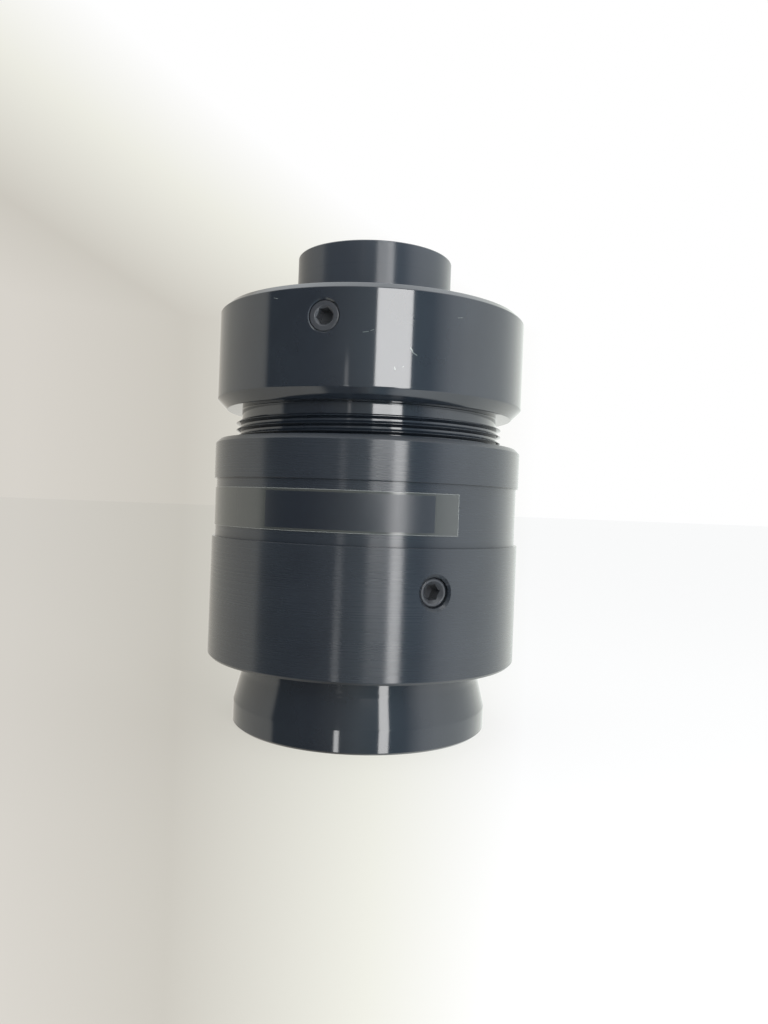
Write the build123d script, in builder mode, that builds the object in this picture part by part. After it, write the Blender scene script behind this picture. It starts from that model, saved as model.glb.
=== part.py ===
from build123d import *
import math
import os

# A relay adapter that joins a camera to a microscope tube. It stands on its dovetail flange, with
# +Z up the optical axis and the origin at the centre of the flange's foot. Lengths are millimetres.

# Focusing thread between the barrel and the focus ring
thread_pitch = 1.0
thread_turns = 9
thread_play = 0.05
thread_flank_angle = 30
thread_root_share = 0.25
thread_depth_share = 0.6134
relief_depth = 0.8
relief_length = 1.55
skirt_wall = 4.0

# Barrel
barrel_length = 31.7
barrel_wall = 3.0
upper_band_step = 0.12
upper_band_height = 5.8
label_recess_width = 8.4
label_recess_depth = 0.45
barrel_foot_chamfer = 0.4
mouth_chamfer = 0.65
mouth_lead_in = 0.45
web_thickness = 3.9
undercut_length = 2.6
undercut_depth = 0.4
chamber_clearance = 0.25

# Focus ring
ring_gap = 4.45
ring_step = 0.15
ring_height = 14.7
ring_top_chamfer = 0.75
ring_foot_chamfer = 1.45
skirt_foot_chamfer = 0.5
nose_socket_depth = 12.35
seat_web = 2.1

# Nose tube, the standard 23.2 mm eyepiece tube size
nose_dia = 23.2
nose_reach = 8.8
nose_wall = 2.1
nose_rim_chamfer = 0.15
nose_foot_chamfer = 0.3
nose_seat_depth = 0.15
nose_shank_step = 0.6
nose_shank_gap = 0.35
nose_play = 0.025
front_seat = 0.9
light_step = 0.6

# Dovetail flange
dovetail_dia = 38.0
dovetail_rim_height = 3.3
dovetail_undercut = 1.1
dovetail_flare_top = 7.5
flange_wall = 3.7
flange_reach = 10.0
flange_foot_chamfer = 0.3
mouth_step = 1.4
mouth_depth = 2.0
spigot_play = 0.05
spigot_gap = 0.05
glare_groove_count = 6
glare_groove_pitch = 1.4
glare_groove_depth = 0.4
glare_groove_start = 3.4

# Set screws, M4 with a hexagon socket and a cone point, three around each joint
screw_count = 3
screw_dia = 4.0
screw_play = 0.03
screw_socket = 2.0
screw_socket_depth = 2.0
screw_tip_flat = 0.3
screw_tip_play = 0.08
nose_screw_angle = 255.3
nose_screw_drop = 4.35
nose_screw_recess = 0.22
nose_screw_bevel = 0.12
nose_screw_mouth_dia = 2.6
nose_groove_depth = 0.75
nose_sink_dia = 4.5
flange_screw_angle = 295.2
flange_screw_drop = 5.2
flange_screw_recess = 0.62
flange_screw_bevel = 0.28
flange_screw_mouth_dia = 3.1
flange_groove_depth = 0.9
flange_sink_dia = 4.9
sink_angle = 90

# Lenses, their cell and their rings
lens_play = 0.03
cement_gap = 0.02
seat_play = 0.02
front_flint_thickness = 1.8
front_crown_edge = 1.43
front_foot_curve = 60.0
front_cement_curve = 24.0
front_top_curve = 38.0
front_ring_seat = 1.0
front_ring_thickness = 1.2
front_ring_recess = 0.37
cell_wall = 1.47
cell_head_step = 1.9
cell_head_height = 2.1
cell_lip_height = 1.2
cell_lip_step = 1.0
cell_clearance = 0.7
skirt_clearance = 0.6
field_lens_edge = 2.54
field_lens_curve = 50.0
spacer_wall = 1.0
spacer_length = 5.4
stop_thickness = 0.4
stop_rim = 5.0
rear_flint_thickness = 1.8
rear_cement_curve = 32.0
rear_crown_edge = 1.4
rear_top_curve = 44.0
rear_ring_seat = 1.1
rear_ring_thickness = 2.0
rear_ring_recess = 1.34
spanner_slot_width = 1.2
spanner_slot_depth = 0.6
cut_overrun = 0.5

# Label film in the barrel's recess
label_width = 5.5
label_rise = 1.6
label_film = 0.1
label_start_angle = 186.0
label_sweep = 117.6
label_glue = 0.01

# Radii of the barrel side, which follow from the dovetail's: the flange inside it, then the cell
# and its lenses, and outwards again over the cell's head to the skirt, the thread and the barrel
dovetail_r = dovetail_dia / 2
neck_r = dovetail_r - dovetail_undercut
flange_bore_r = neck_r - flange_wall
cell_r = flange_bore_r - cell_clearance
rear_lens_r = cell_r - cell_wall - lens_play
cell_head_r = cell_r + cell_head_step
skirt_bore_r = cell_head_r + skirt_clearance
thread_r = skirt_bore_r + skirt_wall
thread_depth = thread_depth_share * thread_pitch
relief_r = thread_r - relief_depth
barrel_r = thread_r + barrel_wall
upper_band_r = barrel_r - upper_band_step
recess_r = barrel_r - label_recess_depth
ring_r = barrel_r - ring_step

# Radii of the nose side
nose_r = nose_dia / 2
shank_r = nose_r - nose_shank_step
front_lens_r = nose_r - nose_wall
nose_bore_r = front_lens_r - front_seat

# Heights that follow from the sizes above
thread_length = thread_turns * thread_pitch
skirt_length = relief_length + thread_length
barrel_foot = flange_reach
barrel_top = barrel_foot + barrel_length
chamber_foot = barrel_top - skirt_length - chamber_clearance
web_foot = chamber_foot - web_thickness
recess_top = barrel_top - upper_band_height
recess_foot = recess_top - label_recess_width
ring_foot = barrel_top + ring_gap
ring_top = ring_foot + ring_height
thread_top = ring_foot - relief_length
skirt_foot = ring_foot - skirt_length
nose_socket_foot = ring_top - nose_socket_depth
nose_seat = ring_top - nose_seat_depth
nose_foot = nose_socket_foot + nose_shank_gap
nose_top = ring_top + nose_reach
nose_screw_height = ring_top - nose_screw_drop
flange_screw_z = web_foot - flange_screw_drop
cell_top = chamber_foot + cell_head_height

# Radius of the set screws, and how far out their tips are in the grooves that they sit in
screw_r = screw_dia / 2
nose_tip_r = shank_r - nose_groove_depth + screw_tip_flat + screw_tip_play
flange_tip_r = neck_r - flange_groove_depth + screw_tip_flat + screw_tip_play


# How far a spherical surface falls away from its apex at a radius. A curve of 0 is flat.
def sagitta(curve, radius):
    if curve == 0:
        return 0.0
    return math.copysign(abs(curve) - math.sqrt(curve**2 - radius**2), curve)


# The thickness of a lens on the axis, from its thickness at the edge
def middle_thickness(edge, radius, foot_curve, top_curve):
    return edge + sagitta(foot_curve, radius) - sagitta(top_curve, radius)


# The circular edge of a piece at a height, from the innermost (0) to the outermost (-1)
def rim_edge(piece, height, place=-1):
    reach = 0.001
    level = piece.edges().filter_by(GeomType.CIRCLE)
    level = level.filter_by_position(Axis.Z, height - reach, height + reach)
    return level.sort_by(SortBy.RADIUS)[place]


# A plane square to the optical axis' radius at an angle and height, facing outwards
def radial_plane(angle, height, radius):
    direction = Vector(math.cos(math.radians(angle)), math.sin(math.radians(angle)), 0)
    return Plane(origin=direction * radius + Vector(0, 0, height), x_dir=(0, 0, 1), z_dir=direction)


# The angles of the screws around the axis, from the angle of the first
def screw_angles(first):
    return [first + 360 / screw_count * turn for turn in range(screw_count)]


def save(piece, name):
    piece.part.label = name
    export_step(piece.part, f"parts/{name}.step")


os.makedirs("parts", exist_ok=True)

# Front stack in the nose tube, from its retaining ring down to the seat
front_ring_inner = front_lens_r - front_ring_seat
front_ring_foot = nose_top - front_ring_recess - front_ring_thickness
front_crown_top = front_ring_foot - seat_play - sagitta(-front_top_curve, front_ring_inner)
front_crown_foot = front_crown_top - middle_thickness(
    front_crown_edge, front_lens_r, front_cement_curve, -front_top_curve
)
front_flint_top = front_crown_foot - cement_gap
front_flint_foot = front_flint_top - front_flint_thickness
front_seat_z = front_flint_foot + sagitta(front_foot_curve, nose_bore_r) - seat_play

# Rear stack in the cell, from its retaining ring down to the cell's lip
rear_ring_inner = rear_lens_r - rear_ring_seat
rear_ring_foot = cell_top - rear_ring_recess - rear_ring_thickness
rear_crown_top = rear_ring_foot - seat_play - sagitta(-rear_top_curve, rear_ring_inner)
rear_crown_foot = rear_crown_top - middle_thickness(
    rear_crown_edge, rear_lens_r, rear_cement_curve, -rear_top_curve
)
rear_flint_top = rear_crown_foot - cement_gap
rear_flint_foot = rear_flint_top - rear_flint_thickness
stop_inner = rear_lens_r - stop_rim
stop_foot = rear_flint_foot - stop_thickness
spacer_inner = rear_lens_r - spacer_wall
spacer_foot = stop_foot - spacer_length
field_top = spacer_foot - seat_play - sagitta(-field_lens_curve, spacer_inner)
field_foot = field_top - middle_thickness(field_lens_edge, rear_lens_r, 0, -field_lens_curve)
cell_foot = field_foot - cell_lip_height

# Barrel: turned outside, with a socket for the flange below the web and the focusing chamber above
socket_r = neck_r + spigot_play
chamber_r = thread_r + thread_play
undercut_r = chamber_r + undercut_depth
cell_hole_r = cell_r + lens_play
with BuildPart() as main_barrel:
    with BuildSketch(Plane.XZ):
        with BuildLine():
            Polyline(
                (socket_r, barrel_foot),
                (barrel_r, barrel_foot),
                (barrel_r, recess_foot),
                (recess_r, recess_foot),
                (recess_r, recess_top),
                (upper_band_r, recess_top),
                (upper_band_r, barrel_top),
                (chamber_r, barrel_top),
                (chamber_r, chamber_foot + undercut_length),
                (undercut_r, chamber_foot + undercut_length - undercut_depth),
                (undercut_r, chamber_foot),
                (cell_hole_r, chamber_foot),
                (cell_hole_r, web_foot),
                (socket_r, web_foot),
                close=True,
            )
        make_face()
    revolve(axis=Axis.Z)
    chamfer(rim_edge(main_barrel, barrel_foot), barrel_foot_chamfer)
    chamfer(rim_edge(main_barrel, barrel_foot, 0), barrel_foot_chamfer)
    chamfer(rim_edge(main_barrel, barrel_top), mouth_chamfer)
    chamfer(rim_edge(main_barrel, barrel_top, 0), mouth_lead_in)
    for angle in screw_angles(flange_screw_angle):
        with Locations(radial_plane(angle, flange_screw_z, barrel_r)):
            CounterSinkHole(
                screw_r + screw_play,
                flange_sink_dia / 2,
                depth=barrel_r - socket_r + barrel_wall,
                counter_sink_angle=sink_angle,
            )
save(main_barrel, "main_barrel")

# Dovetail flange: a flared rim outside, and a spigot with a screw groove up inside the barrel
spigot_top = web_foot - spigot_gap
with BuildPart() as dovetail_flange:
    with BuildSketch(Plane.XZ):
        with BuildLine():
            Polyline(
                (flange_bore_r + mouth_step, 0),
                (dovetail_r, 0),
                (dovetail_r, dovetail_rim_height),
                (neck_r, dovetail_flare_top),
                (neck_r, spigot_top),
                (flange_bore_r, spigot_top),
                (flange_bore_r, mouth_depth),
                (flange_bore_r + mouth_step, mouth_depth),
                close=True,
            )
        make_face()
    revolve(axis=Axis.Z)
    chamfer(rim_edge(dovetail_flange, 0), flange_foot_chamfer)
    chamfer(rim_edge(dovetail_flange, 0, 0), flange_foot_chamfer)
    chamfer(rim_edge(dovetail_flange, spigot_top), flange_foot_chamfer)
    with BuildSketch(Plane.XZ):
        with Locations((neck_r, flange_screw_z)):
            Polygon(
                (0, flange_groove_depth),
                (-flange_groove_depth, 0),
                (0, -flange_groove_depth),
                align=None,
            )
        groove_middle = glare_groove_start + glare_groove_pitch * (glare_groove_count - 1) / 2
        with Locations((flange_bore_r, groove_middle)):
            with GridLocations(0, glare_groove_pitch, 1, glare_groove_count):
                Polygon(
                    (0, glare_groove_depth),
                    (glare_groove_depth, 0),
                    (0, -glare_groove_depth),
                    align=None,
                )
    revolve(axis=Axis.Z, mode=Mode.SUBTRACT)
save(dovetail_flange, "dovetail_flange")

# Focus ring: the grip, its relief and the threaded skirt are turned from one piece
with BuildPart() as focus_ring:
    with BuildSketch(Plane.XZ):
        with BuildLine():
            Polyline(
                (skirt_bore_r, skirt_foot),
                (thread_r, skirt_foot),
                (thread_r, thread_top),
                (relief_r, thread_top),
                (relief_r, ring_foot),
                (ring_r, ring_foot),
                (ring_r, ring_top),
                (nose_r + nose_play, ring_top),
                (nose_r + nose_play, nose_seat),
                (shank_r + nose_play, nose_seat),
                (shank_r + nose_play, nose_socket_foot),
                (nose_bore_r + light_step, nose_socket_foot),
                (nose_bore_r + light_step, nose_socket_foot - seat_web),
                (skirt_bore_r, nose_socket_foot - seat_web),
                close=True,
            )
        make_face()
    revolve(axis=Axis.Z)
    chamfer(rim_edge(focus_ring, ring_foot), ring_foot_chamfer)
    chamfer(rim_edge(focus_ring, ring_top), ring_top_chamfer)
    chamfer(rim_edge(focus_ring, skirt_foot), skirt_foot_chamfer)
    # The thread is cut as one groove a pitch, at its true depth and flank angle
    with BuildSketch(Plane.XZ):
        root_half = thread_root_share * thread_pitch / 2
        crest_half = root_half + thread_depth * math.tan(math.radians(thread_flank_angle))
        with Locations((thread_r, skirt_foot + thread_length / 2)):
            with GridLocations(0, thread_pitch, 1, thread_turns):
                Polygon(
                    (0, crest_half),
                    (-thread_depth, root_half),
                    (-thread_depth, -root_half),
                    (0, -crest_half),
                    align=None,
                )
    revolve(axis=Axis.Z, mode=Mode.SUBTRACT)
    for angle in screw_angles(nose_screw_angle):
        with Locations(radial_plane(angle, nose_screw_height, ring_r)):
            CounterSinkHole(
                screw_r + screw_play,
                nose_sink_dia / 2,
                depth=ring_r - nose_bore_r,
                counter_sink_angle=sink_angle,
            )
save(focus_ring, "focus_ring")

# Nose tube: a shouldered shank with the set screws' groove in the ring, and the front doublet's
# pocket above
with BuildPart() as nose_tube:
    with BuildSketch(Plane.XZ):
        with BuildLine():
            Polyline(
                (nose_bore_r, nose_foot),
                (shank_r, nose_foot),
                (shank_r, nose_seat),
                (nose_r, nose_seat),
                (nose_r, nose_top),
                (front_lens_r + lens_play, nose_top),
                (front_lens_r + lens_play, front_seat_z),
                (nose_bore_r, front_seat_z),
                close=True,
            )
        make_face()
    revolve(axis=Axis.Z)
    chamfer(rim_edge(nose_tube, nose_top), nose_rim_chamfer)
    chamfer(rim_edge(nose_tube, nose_top, 0), nose_rim_chamfer)
    chamfer(rim_edge(nose_tube, nose_foot), nose_foot_chamfer)
    with BuildSketch(Plane.XZ):
        with Locations((shank_r, nose_screw_height)):
            Polygon(
                (0, nose_groove_depth),
                (-nose_groove_depth, 0),
                (0, -nose_groove_depth),
                align=None,
            )
    revolve(axis=Axis.Z, mode=Mode.SUBTRACT)
save(nose_tube, "nose_tube")


# A set screw on its radial plane, whose origin is the tip: cone point, bevelled head, hexagon socket
def set_screw(tip_plane, length, bevel, mouth_dia):
    cone = screw_r - screw_tip_flat
    half_section = Plane(tip_plane.origin, x_dir=tip_plane.x_dir, z_dir=-tip_plane.y_dir)
    mouth = mouth_dia / 2
    mouth_sink = mouth - screw_socket / 2
    with BuildPart() as screw:
        with BuildSketch(half_section):
            with BuildLine():
                Polyline(
                    (0, 0),
                    (screw_tip_flat, 0),
                    (screw_r, cone),
                    (screw_r, length - bevel),
                    (screw_r - bevel, length),
                    (mouth, length),
                    (0, length - mouth),
                    close=True,
                )
            make_face()
        revolve(axis=Axis(tip_plane.origin, tip_plane.z_dir))
        with BuildSketch(tip_plane.offset(length - mouth_sink - screw_socket_depth)):
            RegularPolygon(screw_socket / 2, 6, major_radius=False)
        extrude(amount=mouth_sink + screw_socket_depth, mode=Mode.SUBTRACT)
    return screw


nose_screw_length = ring_r - nose_screw_recess - nose_tip_r
for number, angle in enumerate(screw_angles(nose_screw_angle), start=1):
    tip_plane = radial_plane(angle, nose_screw_height, nose_tip_r)
    screw = set_screw(tip_plane, nose_screw_length, nose_screw_bevel, nose_screw_mouth_dia)
    save(screw, f"nose_set_screw_{number}")

flange_screw_length = barrel_r - flange_screw_recess - flange_tip_r
for number, angle in enumerate(screw_angles(flange_screw_angle), start=1):
    tip_plane = radial_plane(angle, flange_screw_z, flange_tip_r)
    screw = set_screw(tip_plane, flange_screw_length, flange_screw_bevel, flange_screw_mouth_dia)
    save(screw, f"flange_set_screw_{number}")


# A lens of a radius between two surfaces, each given by its apex and by a curve that is positive
# where the surface rises towards the edge
def lens(radius, foot_apex, foot_curve, top_apex, top_curve):
    foot_edge = foot_apex + sagitta(foot_curve, radius)
    top_edge = top_apex + sagitta(top_curve, radius)
    foot_middle = foot_apex + sagitta(foot_curve, radius / 2)
    top_middle = top_apex + sagitta(top_curve, radius / 2)
    with BuildPart() as glass:
        with BuildSketch(Plane.XZ):
            with BuildLine():
                if foot_curve == 0:
                    Line((0, foot_apex), (radius, foot_edge))
                else:
                    ThreePointArc((0, foot_apex), (radius / 2, foot_middle), (radius, foot_edge))
                Line((radius, foot_edge), (radius, top_edge))
                ThreePointArc((radius, top_edge), (radius / 2, top_middle), (0, top_apex))
                Line((0, top_apex), (0, foot_apex))
            make_face()
        revolve(axis=Axis.Z)
    return glass


# A plain turned ring, with two spanner slots across its top where it is screwed in
def lens_ring(outer, inner, foot, height, slotted):
    with BuildPart() as ring:
        with BuildSketch(Plane.XY.offset(foot)):
            Circle(outer)
            Circle(inner, mode=Mode.SUBTRACT)
        extrude(amount=height)
        if slotted:
            with BuildSketch(Plane.XY.offset(foot + height)):
                Rectangle(2 * (outer + cut_overrun), spanner_slot_width)
            extrude(amount=-spanner_slot_depth, mode=Mode.SUBTRACT)
    return ring


# Front doublet: the flint rests on the nose tube's seat, and the crown is cemented on top of it
save(
    lens(front_lens_r, front_flint_foot, front_foot_curve, front_flint_top, front_cement_curve),
    "front_flint_lens",
)
save(
    lens(front_lens_r, front_crown_foot, front_cement_curve, front_crown_top, -front_top_curve),
    "front_crown_lens",
)
save(
    lens_ring(front_lens_r, front_ring_inner, front_ring_foot, front_ring_thickness, True),
    "front_retaining_ring",
)

# Rear cell: a flanged tube that hangs in the barrel's web, with a lip below for the lens stack
with BuildPart() as rear_lens_cell:
    with BuildSketch(Plane.XZ):
        with BuildLine():
            Polyline(
                (rear_lens_r - cell_lip_step, cell_foot),
                (cell_r, cell_foot),
                (cell_r, chamber_foot),
                (cell_head_r, chamber_foot),
                (cell_head_r, cell_top),
                (rear_lens_r + lens_play, cell_top),
                (rear_lens_r + lens_play, field_foot),
                (rear_lens_r - cell_lip_step, field_foot),
                close=True,
            )
        make_face()
    revolve(axis=Axis.Z)
    chamfer(rim_edge(rear_lens_cell, cell_top), flange_foot_chamfer)
    chamfer(rim_edge(rear_lens_cell, cell_foot), flange_foot_chamfer)
    with BuildSketch(Plane.XY.offset(cell_top)):
        Rectangle(2 * (cell_head_r + cut_overrun), spanner_slot_width)
    extrude(amount=-spanner_slot_depth, mode=Mode.SUBTRACT)
save(rear_lens_cell, "rear_lens_cell")

# Rear stack, from the lip upwards: field lens, spacer, stop, flint, crown and retaining ring
save(lens(rear_lens_r, field_foot, 0, field_top, -field_lens_curve), "field_lens")
save(lens_ring(rear_lens_r, spacer_inner, spacer_foot, spacer_length, False), "lens_spacer")
save(lens_ring(rear_lens_r, stop_inner, stop_foot, stop_thickness, False), "aperture_stop")
save(lens(rear_lens_r, rear_flint_foot, 0, rear_flint_top, rear_cement_curve), "rear_flint_lens")
save(
    lens(rear_lens_r, rear_crown_foot, rear_cement_curve, rear_crown_top, -rear_top_curve),
    "rear_crown_lens",
)
save(
    lens_ring(rear_lens_r, rear_ring_inner, rear_ring_foot, rear_ring_thickness, True),
    "rear_retaining_ring",
)

# Label: a film bent round the recess, over part of the turn
label_foot = recess_foot + label_rise
with BuildPart() as info_label:
    with BuildSketch(Plane.XZ.rotated((0, 0, label_start_angle))):
        with Locations((recess_r + label_glue, label_foot)):
            Rectangle(label_film, label_width, align=(Align.MIN, Align.MIN))
    revolve(axis=Axis.Z, revolution_arc=label_sweep)
save(info_label, "info_label")
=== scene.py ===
import math

import bpy
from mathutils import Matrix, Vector


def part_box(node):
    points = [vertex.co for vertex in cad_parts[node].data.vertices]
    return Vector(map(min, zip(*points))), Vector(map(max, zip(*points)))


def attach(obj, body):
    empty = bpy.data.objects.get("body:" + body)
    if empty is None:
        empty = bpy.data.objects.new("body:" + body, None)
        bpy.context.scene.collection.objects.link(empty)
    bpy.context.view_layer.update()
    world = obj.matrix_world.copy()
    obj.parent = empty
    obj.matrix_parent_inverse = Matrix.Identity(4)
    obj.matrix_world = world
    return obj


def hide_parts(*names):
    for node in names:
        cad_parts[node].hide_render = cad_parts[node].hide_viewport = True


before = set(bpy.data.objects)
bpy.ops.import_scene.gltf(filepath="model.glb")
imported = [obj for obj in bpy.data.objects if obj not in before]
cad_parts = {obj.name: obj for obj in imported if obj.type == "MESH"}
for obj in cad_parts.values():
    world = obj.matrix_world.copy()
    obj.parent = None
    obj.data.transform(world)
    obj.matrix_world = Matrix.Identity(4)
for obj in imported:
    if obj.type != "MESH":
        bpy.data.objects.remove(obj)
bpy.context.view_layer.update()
mm = 0.001  # every length below is written in millimetres and scaled by this
near = {"merge": 0.001, "pick": 0.002, "cut": 0.0001, "level": 0.0005}  # how close counts as equal


# Every operator acts on what is selected, so nothing is left selected between pieces
def clearSelection():
    if bpy.context.object and bpy.context.object.mode != "OBJECT":
        bpy.ops.object.mode_set(mode="OBJECT")
    bpy.ops.object.select_all(action="DESELECT")


def pick(obj):
    clearSelection()
    obj.select_set(True)
    bpy.context.view_layer.objects.active = obj


def closeMesh():
    bpy.ops.mesh.select_all(action="SELECT")
    bpy.ops.mesh.normals_make_consistent(inside=False)
    bpy.ops.mesh.select_mode(type="VERT")
    bpy.ops.object.mode_set(mode="OBJECT")


# Selects the vertices that lie at one (radius, height) of a half outline
def pickOutlinePoint(obj, point):
    bpy.ops.mesh.select_all(action="DESELECT")
    bpy.ops.object.mode_set(mode="OBJECT")
    target = (point[0] * mm, point[1] * mm)
    for vertex in obj.data.vertices:
        vertex.select = math.dist((vertex.co.x, vertex.co.z), target) < near["pick"] * mm
    bpy.ops.object.mode_set(mode="EDIT")


# Starts a mesh as one point and draws it out along a line of (radius, height)
def drawOutline(points, startHeight=0.0):
    clearSelection()
    location = (points[0][0] * mm, 0, (points[0][1] + startHeight) * mm)
    bpy.ops.mesh.primitive_plane_add(size=mm, location=location)
    obj = bpy.context.object
    bpy.ops.object.mode_set(mode="EDIT")
    bpy.ops.mesh.merge(type="CENTER")
    for here, there in zip(points, points[1:]):
        step = ((there[0] - here[0]) * mm, 0, (there[1] - here[1]) * mm)
        bpy.ops.mesh.extrude_region_move(TRANSFORM_OT_translate={"value": step})
    return obj


# Turns a closed half outline of (radius, height, edge break) round the Z axis, as on a lathe
def turnOutline(name, outline, steps, start=0.0, sweep=360.0):
    obj = drawOutline(outline + outline[:1])
    obj.name = obj.data.name = name
    bpy.ops.mesh.select_all(action="SELECT")
    bpy.ops.mesh.remove_doubles(threshold=near["merge"] * mm)
    bpy.ops.object.mode_set(mode="OBJECT")
    bpy.ops.object.transform_apply(location=True, rotation=True, scale=True)
    bpy.ops.object.mode_set(mode="EDIT")
    for point in outline:
        if point[2] > 0:
            pickOutlinePoint(obj, point)
            bpy.ops.mesh.bevel(offset=point[2] * mm, segments=3, affect="VERTICES")
    bpy.ops.mesh.select_all(action="SELECT")
    if start:
        bpy.ops.transform.rotate(
            value=-math.radians(start), orient_axis="Z", center_override=(0, 0, 0)
        )
    bpy.ops.mesh.spin(
        steps=steps, angle=-math.radians(sweep), center=(0, 0, 0), axis=(0, 0, 1)
    )
    bpy.ops.mesh.select_all(action="SELECT")
    bpy.ops.mesh.remove_doubles(threshold=near["merge"] * mm)
    bpy.ops.mesh.normals_make_consistent(inside=False)
    bpy.ops.object.mode_set(mode="OBJECT")
    return obj


# Brings a piece that was made along the Z axis to the tip of a radial screw
def standRadially(obj, angle, radius, height):
    pick(obj)
    turn = math.radians(angle)
    obj.rotation_euler = (0, math.radians(90), turn)
    obj.location = (radius * math.cos(turn) * mm, radius * math.sin(turn) * mm, height * mm)
    bpy.ops.object.transform_apply(location=True, rotation=True, scale=True)


def copyOf(obj, name):
    twin = obj.copy()
    twin.data = obj.data.copy()
    twin.name = twin.data.name = name
    bpy.context.collection.objects.link(twin)
    return twin


def cutAway(obj, cutter):
    pick(obj)
    cut = obj.modifiers.new("cut", "BOOLEAN")
    cut.operation = "DIFFERENCE"
    cut.object = cutter
    cut.solver = "EXACT"
    bpy.ops.object.modifier_apply(modifier="cut")
    bpy.data.objects.remove(cutter)


# Smooths a finished piece, gives it its finish and body, and hides the node that it stands for
def finishPiece(obj, node, body, material, smoothUpTo=32):
    pick(obj)
    bpy.ops.object.shade_smooth_by_angle(angle=math.radians(smoothUpTo))
    even = obj.modifiers.new("even", "WEIGHTED_NORMAL")  # keeps wide faces true beside their edges
    even.keep_sharp = True
    bpy.ops.object.modifier_apply(modifier="even")
    obj.data.materials.clear()
    obj.data.materials.append(material)
    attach(obj, body)
    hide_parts(node)


# The foot and the top of a CAD node, in millimetres
def heightsOf(node):
    low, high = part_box(node)
    return low.z / mm, high.z / mm


# Finishes: small helpers first, each for one kind of shader node

def newMaterial(name):
    material = bpy.data.materials.new(name)
    material.use_nodes = True
    nodes = material.node_tree.nodes
    return material, nodes, material.node_tree.links, nodes["Principled BSDF"]


def mathNode(nodes, links, operation, first, second=0.0, third=0.0):
    node = nodes.new("ShaderNodeMath")
    node.operation = operation
    for socket, value in zip(node.inputs, (first, second, third)):
        if isinstance(value, (int, float)):
            socket.default_value = value
        else:
            links.new(value, socket)
    return node.outputs[0]


def vectorNode(nodes, links, operation, first, second=None):
    node = nodes.new("ShaderNodeVectorMath")
    node.operation = operation
    for socket, value in zip(node.inputs, (first, second)):
        if isinstance(value, Vector):
            socket.default_value = value
        elif value is not None:
            links.new(value, socket)
    return node


def splitNode(nodes, links, vector):
    apart = nodes.new("ShaderNodeSeparateXYZ")
    links.new(vector, apart.inputs[0])
    return apart.outputs


def noiseNode(nodes, links, vector, scale, detail):
    noise = nodes.new("ShaderNodeTexNoise")
    noise.inputs["Scale"].default_value = scale
    noise.inputs["Detail"].default_value = detail
    links.new(vector, noise.inputs["Vector"])
    return noise


def rangeNode(nodes, links, value, start, end, low=0.0, high=1.0):
    span = nodes.new("ShaderNodeMapRange")
    span.inputs["From Min"].default_value = start
    span.inputs["From Max"].default_value = end
    span.inputs["To Min"].default_value = low
    span.inputs["To Max"].default_value = high
    links.new(value, span.inputs["Value"])
    return span.outputs[0]


def colorRamp(nodes, links, value, stops):
    ramp = nodes.new("ShaderNodeValToRGB")
    elements = ramp.color_ramp.elements
    elements[0].position, elements[1].position = stops[0][0], stops[-1][0]
    elements[0].color, elements[1].color = (*stops[0][1], 1), (*stops[-1][1], 1)
    for position, color in stops[1:-1]:
        element = elements.new(position)
        element.color = (*color, 1)
    links.new(value, ramp.inputs[0])
    return ramp.outputs[0]


def mixColor(nodes, links, share, first, second):
    mix = nodes.new("ShaderNodeMix")
    mix.data_type = "RGBA"
    links.new(share, mix.inputs["Factor"])
    for socket, color in (("A", first), ("B", second)):
        if isinstance(color, tuple):
            mix.inputs[socket].default_value = (*color, 1)
        else:
            links.new(color, mix.inputs[socket])
    return mix.outputs["Result"]


def addRelief(nodes, links, shader, height, strength, depth):
    relief = nodes.new("ShaderNodeBump")
    relief.inputs["Strength"].default_value = strength
    relief.inputs["Distance"].default_value = depth * mm
    links.new(height, relief.inputs["Height"])
    links.new(relief.outputs[0], shader.inputs["Normal"])


# A mask of short scratches, nicks and dust specks, each a line on a radius
def wearMask(nodes, links, place, wear):
    mask = 0.0
    for angle, height, endAngle, endHeight, halfWidth in wear["marks"]:
        ends = []
        for turn, rise in ((angle, height), (endAngle, endHeight)):
            turn = math.radians(turn)
            across, deep = wear["radius"] * math.cos(turn), wear["radius"] * math.sin(turn)
            ends.append(Vector((across, deep, rise)) * mm)
        along = ends[1] - ends[0]
        fromStart = vectorNode(nodes, links, "SUBTRACT", place, ends[0]).outputs[0]
        perLength = along / along.length_squared
        reach = vectorNode(nodes, links, "DOT_PRODUCT", fromStart, perLength).outputs["Value"]
        held = mathNode(nodes, links, "MAXIMUM", reach, 0.0)
        held = mathNode(nodes, links, "MINIMUM", held, 1.0)
        nearest = vectorNode(nodes, links, "SCALE", along)
        links.new(held, nearest.inputs["Scale"])
        gap = vectorNode(nodes, links, "DISTANCE", fromStart, nearest.outputs[0]).outputs["Value"]
        share = mathNode(nodes, links, "MULTIPLY_ADD", gap, -1 / (halfWidth * mm), 1.0)
        mask = mathNode(nodes, links, "MAXIMUM", share, mask)
    return mask


# Black anodised aluminium, turned: fine marks run round the axis, so their noise is stretched round
# it, and the dye takes a little unevenly
anodising = {
    "markDetail": 4, "markGrain": 0.7, "dyeScale": 160, "dyeDetail": 5, "spread": (0.3, 0.7),
    "ior": 1.5, "stretchTurn": 0.25,
}


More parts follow.
